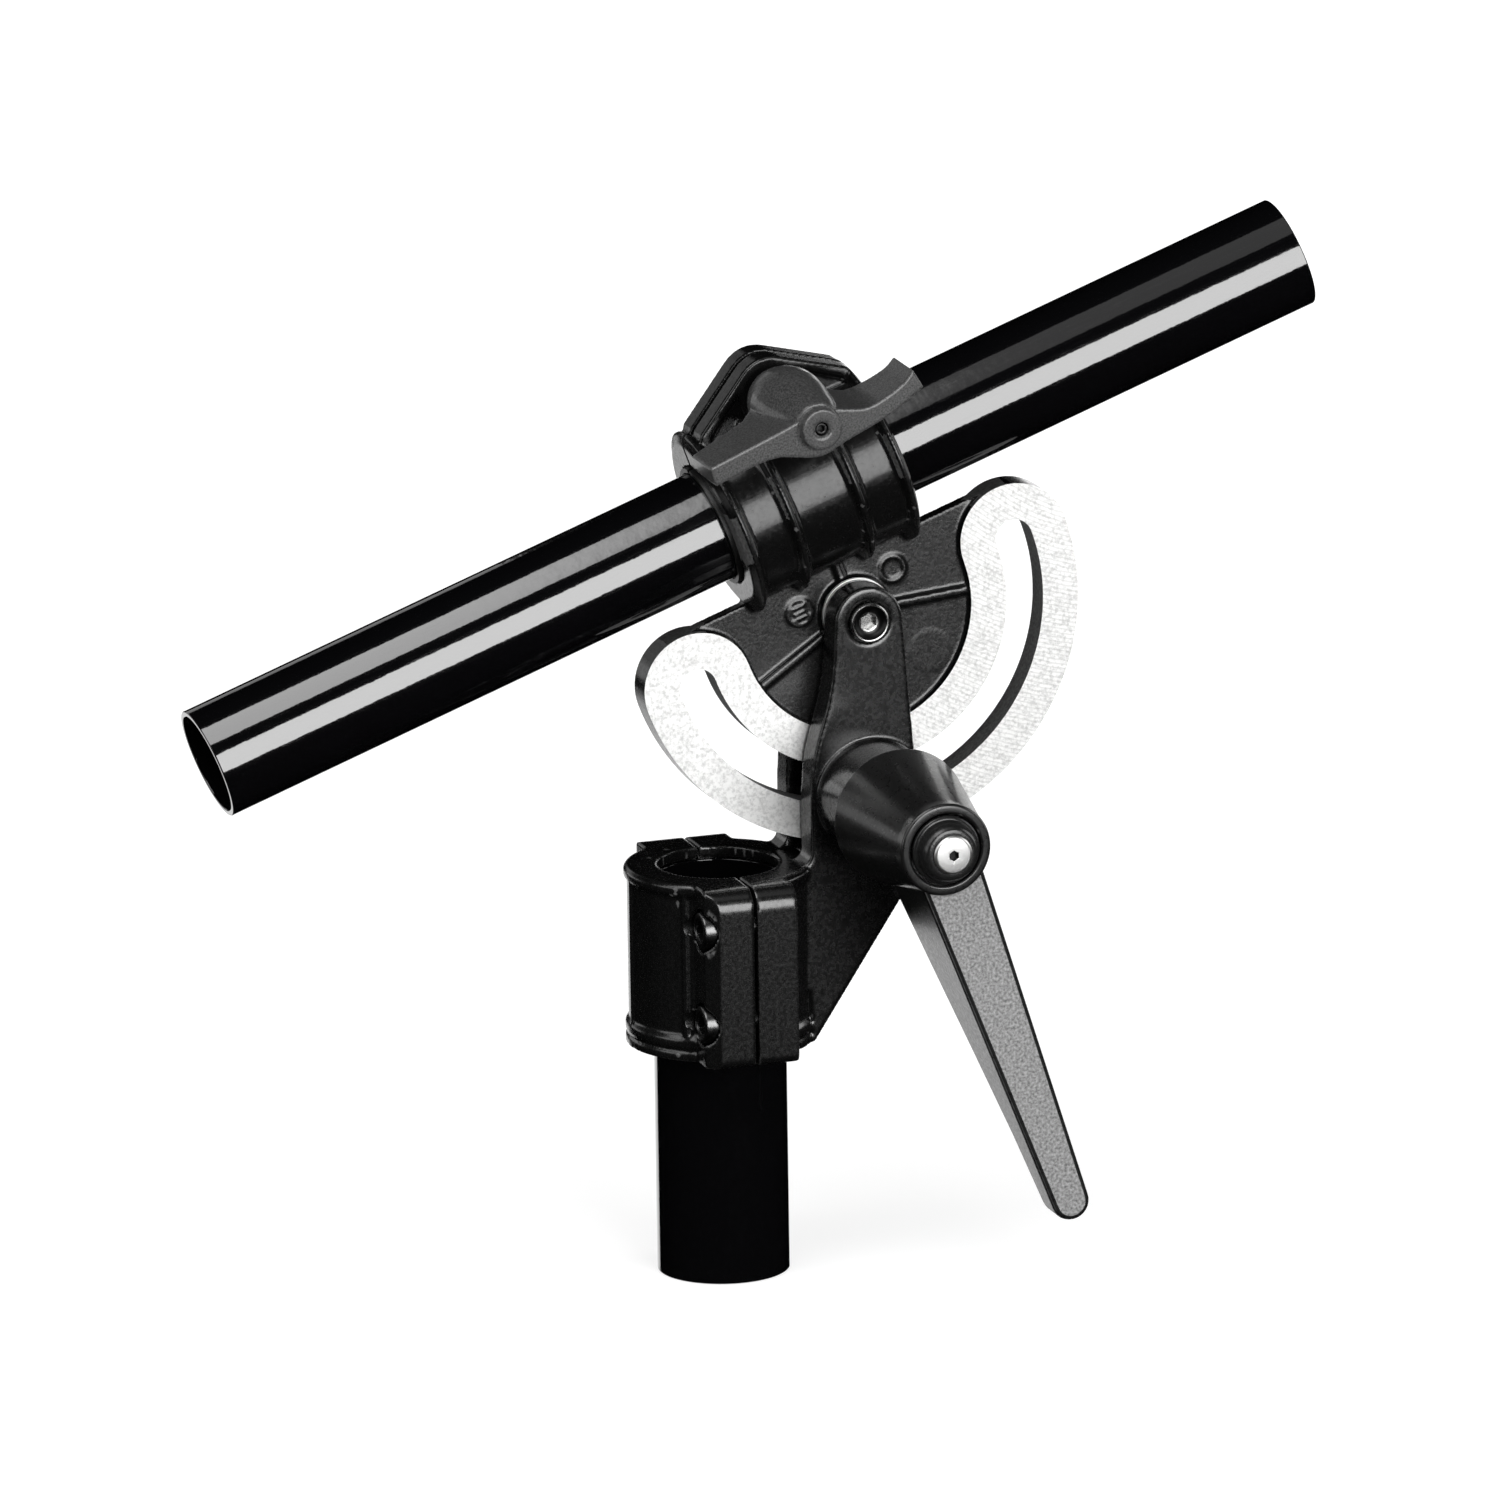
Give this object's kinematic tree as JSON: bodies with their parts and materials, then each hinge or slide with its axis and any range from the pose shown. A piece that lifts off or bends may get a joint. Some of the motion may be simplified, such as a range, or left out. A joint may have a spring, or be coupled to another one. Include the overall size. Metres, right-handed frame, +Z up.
{
  "type": "boom stand",
  "caption": "Tilting head of a boom stand: a column clamp, a slotted quadrant between two arms, a split collar holding a sliding boom, a T-knob and a clamp lever.",
  "frame": {"origin": "on the column's axis, at the lower end of the modelled stretch of column", "axes": "+Z up the column, -Y towards the side with the knob and the lever, +X from the column towards the pivot and the boom's raised end"},
  "size_m": [0.3105, 0.1109, 0.2742],
  "materials": {
    "column_paint": "satin black powder coat",
    "boom_paint": "glossy black enamel",
    "bracket_paint": "satin black powder coat on cast metal",
    "cradle_cast": "satin black paint on cast metal, the slotted band's faces machined bright",
    "liner_nylon": "dull dark nylon",
    "knob_plastic": "matte dark grey moulding",
    "lever_grey": "fine-grained grey moulding",
    "cap_grey": "half-gloss dark grey",
    "bright_steel": "plated bright",
    "dark_steel": "black oxide"
  },
  "bodies": {
    "head": {"column_tube": "column_paint", "column_clamp_cap": "bracket_paint", "bracket": "bracket_paint", "clamp_screw_front_lower": "dark_steel", "clamp_screw_front_upper": "dark_steel", "clamp_screw_rear_lower": "dark_steel", "clamp_screw_rear_upper": "dark_steel", "pivot_bolt": "dark_steel", "pivot_nut": "dark_steel", "pivot_washer_front": "bright_steel", "pivot_washer_rear": "bright_steel", "clamp_bolt": "dark_steel", "clamp_washer_front": "bright_steel", "clamp_washer_rear": "bright_steel", "slot_bush": "bright_steel"},
    "cradle": {"boom_cradle": "cradle_cast", "boom_liner": "liner_nylon", "ear_bolt": "dark_steel"},
    "boom": {"boom_tube": "boom_paint"},
    "washer": {"knob_washer": "bright_steel"},
    "knob": {"t_knob": "knob_plastic", "knob_cap_screw": "dark_steel"},
    "lever_hub": {"lever_core": "dark_steel", "lever_cap": "cap_grey", "lever_screw": "bright_steel"},
    "lever": {"clamp_lever": "lever_grey"}
  },
  "joints": [
    {"name": "boom_tilt", "type": "hinge", "parent": "head", "child": "cradle", "pos_m": [0.038, 0, 0.175], "axis": [0, -1, 0], "range_deg": [-110, 40]},
    {"name": "boom_slide", "type": "slide", "parent": "cradle", "child": "boom", "axis": [0.9397, 0, 0.342], "range_m": [-0.115, 0.14]},
    {"name": "knob_travel", "type": "slide", "parent": "cradle", "child": "washer", "axis": [0, -1, 0], "range_m": [0, 0.00125]},
    {"name": "knob_turn", "type": "hinge", "parent": "washer", "child": "knob", "pos_m": [0.01432, 0, 0.23715], "axis": [0, -1, 0], "range_deg": [0, 360]},
    {"name": "clamp_turn", "type": "hinge", "parent": "head", "child": "lever_hub", "pos_m": [0.038, 0, 0.12825], "axis": [0, -1, 0], "range_deg": [0, 150]},
    {"name": "lever_lift", "type": "slide", "parent": "lever_hub", "child": "lever", "axis": [0, -1, 0], "range_m": [0, 0.0045], "stiffness_N_per_m": 900, "springref_m": -0.006}
  ],
  "couplings": [
    {"joint": "knob_travel", "follows": "knob_turn", "m_per_rad": 0.00019894}
  ]
}
